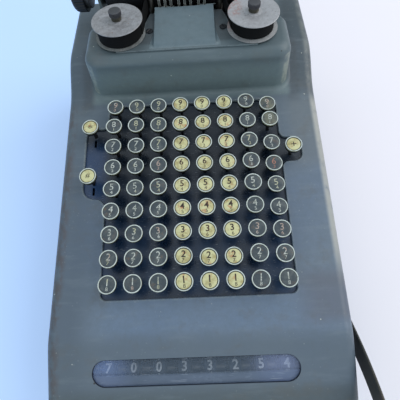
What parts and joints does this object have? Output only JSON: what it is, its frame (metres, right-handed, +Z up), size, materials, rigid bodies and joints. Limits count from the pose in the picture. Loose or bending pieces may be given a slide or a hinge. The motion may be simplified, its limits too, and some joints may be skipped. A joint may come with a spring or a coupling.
{
  "type": "adding machine",
  "caption": "Hand-operated adding machine with a full keyboard of number keys, a slot with figure dials, two ribbon spools, a platen and a side handle.",
  "frame": {"origin": "middle of the case's plan, on the plane that the four feet stand on", "axes": "+X to the operator's right, +Y to the rear, +Z up"},
  "size_m": [0.3156, 0.4419, 0.177],
  "materials": {
    "case_paint": "satin grey enamel, speckled and worn at the edges",
    "dark_enamel": "semi-gloss dark blue enamel",
    "frame_steel": "dull oiled steel",
    "bare_steel": "bare steel with tan patches of wear",
    "plated_steel": "dull nickel plate with rust spots",
    "brass_bush": "dull brass",
    "black_rubber": "matte hard rubber",
    "black_moulding": "satin moulded plastic",
    "dial_black": "satin black with white figures",
    "dark_keys": "glossy dark disc in a bright rim",
    "cream_keys": "glossy cream disc in a bright rim",
    "inked_ribbon": "fine inked weave",
    "window_lens": "clear sheet"
  },
  "bodies": {
    "machine": {"case_shell": "case_paint", "base_pan": "dark_enamel", "rubber_feet": "black_rubber", "foot_screws": "bare_steel", "ribbon_cover": "case_paint", "cover_screws": "dark_enamel", "window_lens": "window_lens", "keyboard_plate": "dark_enamel", "key_guide_plate": "frame_steel", "dial_shaft": "bare_steel", "type_bar_guides": "frame_steel", "paper_guide": "bare_steel", "ribbon": "inked_ribbon", "ribbon_posts": "bare_steel", "spool_studs": "bare_steel", "spool_nuts": "plated_steel", "left_side_frame": "frame_steel", "right_side_frame": "frame_steel", "tie_rods": "bare_steel", "handle_bushing": "brass_bush", "return_spring": "bare_steel"},
    "key_column_1": {"key_column_1": "dark_keys"},
    "key_column_2": {"key_column_2": "dark_keys"},
    "key_column_3": {"key_column_3": "dark_keys"},
    "key_column_4": {"key_column_4": "cream_keys"},
    "key_column_5": {"key_column_5": "cream_keys"},
    "key_column_6": {"key_column_6": "cream_keys"},
    "key_column_7": {"key_column_7": "dark_keys"},
    "key_column_8": {"key_column_8": "dark_keys"},
    "upper_left_key": {"upper_left_key": "cream_keys"},
    "lower_left_key": {"lower_left_key": "cream_keys"},
    "right_key": {"right_key": "cream_keys"},
    "number_dial_1": {"number_dial_1": "dial_black"},
    "number_dial_2": {"number_dial_2": "dial_black"},
    "number_dial_3": {"number_dial_3": "dial_black"},
    "number_dial_4": {"number_dial_4": "dial_black"},
    "number_dial_5": {"number_dial_5": "dial_black"},
    "number_dial_6": {"number_dial_6": "dial_black"},
    "number_dial_7": {"number_dial_7": "dial_black"},
    "number_dial_8": {"number_dial_8": "dial_black"},
    "type_bar_1": {"type_bar_1": "frame_steel"},
    "type_bar_2": {"type_bar_2": "frame_steel"},
    "type_bar_3": {"type_bar_3": "frame_steel"},
    "type_bar_4": {"type_bar_4": "frame_steel"},
    "type_bar_5": {"type_bar_5": "frame_steel"},
    "type_bar_6": {"type_bar_6": "frame_steel"},
    "type_bar_7": {"type_bar_7": "frame_steel"},
    "type_bar_8": {"type_bar_8": "frame_steel"},
    "platen": {"platen": "black_rubber", "platen_shaft": "bare_steel", "left_platen_knob": "black_moulding", "right_platen_knob": "black_moulding"},
    "feed_roller": {"feed_roller": "black_rubber"},
    "left_spool": {"left_spool": "plated_steel", "left_ribbon_roll": "inked_ribbon"},
    "right_spool": {"right_spool": "plated_steel", "right_ribbon_roll": "inked_ribbon"},
    "handle": {"handle_shaft": "bare_steel", "handle_arm": "bare_steel"},
    "grip": {"handle_grip": "black_moulding"}
  },
  "joints": [
    {"name": "key_column_1_press", "type": "slide", "parent": "machine", "child": "key_column_1", "axis": [0, 0.1513, -0.9885], "range_m": [0, 0.0045], "stiffness_N_per_m": 300, "springref_m": -0.003},
    {"name": "key_column_2_press", "type": "slide", "parent": "machine", "child": "key_column_2", "axis": [0, 0.1513, -0.9885], "range_m": [0, 0.0045], "stiffness_N_per_m": 300, "springref_m": -0.003},
    {"name": "key_column_3_press", "type": "slide", "parent": "machine", "child": "key_column_3", "axis": [0, 0.1513, -0.9885], "range_m": [0, 0.0045], "stiffness_N_per_m": 300, "springref_m": -0.003},
    {"name": "key_column_4_press", "type": "slide", "parent": "machine", "child": "key_column_4", "axis": [0, 0.1513, -0.9885], "range_m": [0, 0.0045], "stiffness_N_per_m": 300, "springref_m": -0.003},
    {"name": "key_column_5_press", "type": "slide", "parent": "machine", "child": "key_column_5", "axis": [0, 0.1513, -0.9885], "range_m": [0, 0.0045], "stiffness_N_per_m": 300, "springref_m": -0.003},
    {"name": "key_column_6_press", "type": "slide", "parent": "machine", "child": "key_column_6", "axis": [0, 0.1513, -0.9885], "range_m": [0, 0.0045], "stiffness_N_per_m": 300, "springref_m": -0.003},
    {"name": "key_column_7_press", "type": "slide", "parent": "machine", "child": "key_column_7", "axis": [0, 0.1513, -0.9885], "range_m": [0, 0.0045], "stiffness_N_per_m": 300, "springref_m": -0.003},
    {"name": "key_column_8_press", "type": "slide", "parent": "machine", "child": "key_column_8", "axis": [0, 0.1513, -0.9885], "range_m": [0, 0.0045], "stiffness_N_per_m": 300, "springref_m": -0.003},
    {"name": "upper_left_key_press", "type": "slide", "parent": "machine", "child": "upper_left_key", "axis": [0, 0.1513, -0.9885], "range_m": [0, 0.0045], "stiffness_N_per_m": 120, "springref_m": -0.003},
    {"name": "lower_left_key_press", "type": "slide", "parent": "machine", "child": "lower_left_key", "axis": [0, 0.1513, -0.9885], "range_m": [0, 0.0045], "stiffness_N_per_m": 120, "springref_m": -0.003},
    {"name": "right_key_press", "type": "slide", "parent": "machine", "child": "right_key", "axis": [0, 0.1513, -0.9885], "range_m": [0, 0.0045], "stiffness_N_per_m": 120, "springref_m": -0.003},
    {"name": "number_dial_1_turn", "type": "hinge", "parent": "machine", "child": "number_dial_1", "pos_m": [-0.06878, -0.159, 0.051], "axis": [1, 0, 0], "continuous": true},
    {"name": "number_dial_2_turn", "type": "hinge", "parent": "machine", "child": "number_dial_2", "pos_m": [-0.04972, -0.159, 0.051], "axis": [1, 0, 0], "continuous": true},
    {"name": "number_dial_3_turn", "type": "hinge", "parent": "machine", "child": "number_dial_3", "pos_m": [-0.03068, -0.159, 0.051], "axis": [1, 0, 0], "continuous": true},
    {"name": "number_dial_4_turn", "type": "hinge", "parent": "machine", "child": "number_dial_4", "pos_m": [-0.01162, -0.159, 0.051], "axis": [1, 0, 0], "continuous": true},
    {"name": "number_dial_5_turn", "type": "hinge", "parent": "machine", "child": "number_dial_5", "pos_m": [0.00743, -0.159, 0.051], "axis": [1, 0, 0], "continuous": true},
    {"name": "number_dial_6_turn", "type": "hinge", "parent": "machine", "child": "number_dial_6", "pos_m": [0.02647, -0.159, 0.051], "axis": [1, 0, 0], "continuous": true},
    {"name": "number_dial_7_turn", "type": "hinge", "parent": "machine", "child": "number_dial_7", "pos_m": [0.04553, -0.159, 0.051], "axis": [1, 0, 0], "continuous": true},
    {"name": "number_dial_8_turn", "type": "hinge", "parent": "machine", "child": "number_dial_8", "pos_m": [0.06457, -0.159, 0.051], "axis": [1, 0, 0], "continuous": true},
    {"name": "type_bar_1_rise", "type": "slide", "parent": "machine", "child": "type_bar_1", "axis": [0, 0, 1], "range_m": [0, 0.036]},
    {"name": "type_bar_2_rise", "type": "slide", "parent": "machine", "child": "type_bar_2", "axis": [0, 0, 1], "range_m": [0, 0.036]},
    {"name": "type_bar_3_rise", "type": "slide", "parent": "machine", "child": "type_bar_3", "axis": [0, 0, 1], "range_m": [0, 0.036]},
    {"name": "type_bar_4_rise", "type": "slide", "parent": "machine", "child": "type_bar_4", "axis": [0, 0, 1], "range_m": [0, 0.036]},
    {"name": "type_bar_5_rise", "type": "slide", "parent": "machine", "child": "type_bar_5", "axis": [0, 0, 1], "range_m": [0, 0.036]},
    {"name": "type_bar_6_rise", "type": "slide", "parent": "machine", "child": "type_bar_6", "axis": [0, 0, 1], "range_m": [0, 0.036]},
    {"name": "type_bar_7_rise", "type": "slide", "parent": "machine", "child": "type_bar_7", "axis": [0, 0, 1], "range_m": [0, 0.036]},
    {"name": "type_bar_8_rise", "type": "slide", "parent": "machine", "child": "type_bar_8", "axis": [0, 0, 1], "range_m": [0, 0.036]},
    {"name": "platen_turn", "type": "hinge", "parent": "machine", "child": "platen", "pos_m": [0, 0.1545, 0.16], "axis": [1, 0, 0], "continuous": true},
    {"name": "feed_roller_turn", "type": "hinge", "parent": "machine", "child": "feed_roller", "pos_m": [0, 0.1545, 0.13735], "axis": [1, 0, 0], "continuous": true},
    {"name": "left_spool_turn", "type": "hinge", "parent": "machine", "child": "left_spool", "pos_m": [-0.057, 0.1, 0.16], "axis": [0, 0, 1], "continuous": true},
    {"name": "right_spool_turn", "type": "hinge", "parent": "machine", "child": "right_spool", "pos_m": [0.057, 0.1, 0.16], "axis": [0, 0, 1], "continuous": true},
    {"name": "handle_pull", "type": "hinge", "parent": "machine", "child": "handle", "pos_m": [0.119, -0.109, 0.028], "axis": [-1, 0, 0], "range_deg": [0, 70]},
    {"name": "grip_turn", "type": "hinge", "parent": "handle", "child": "grip", "pos_m": [0.16, -0.23789, 0.08852], "axis": [1, 0, 0], "continuous": true}
  ],
  "couplings": [
    {"joint": "feed_roller_turn", "follows": "platen_turn", "ratio": -2.75},
    {"joint": "right_spool_turn", "follows": "left_spool_turn", "ratio": 1.0556}
  ]
}
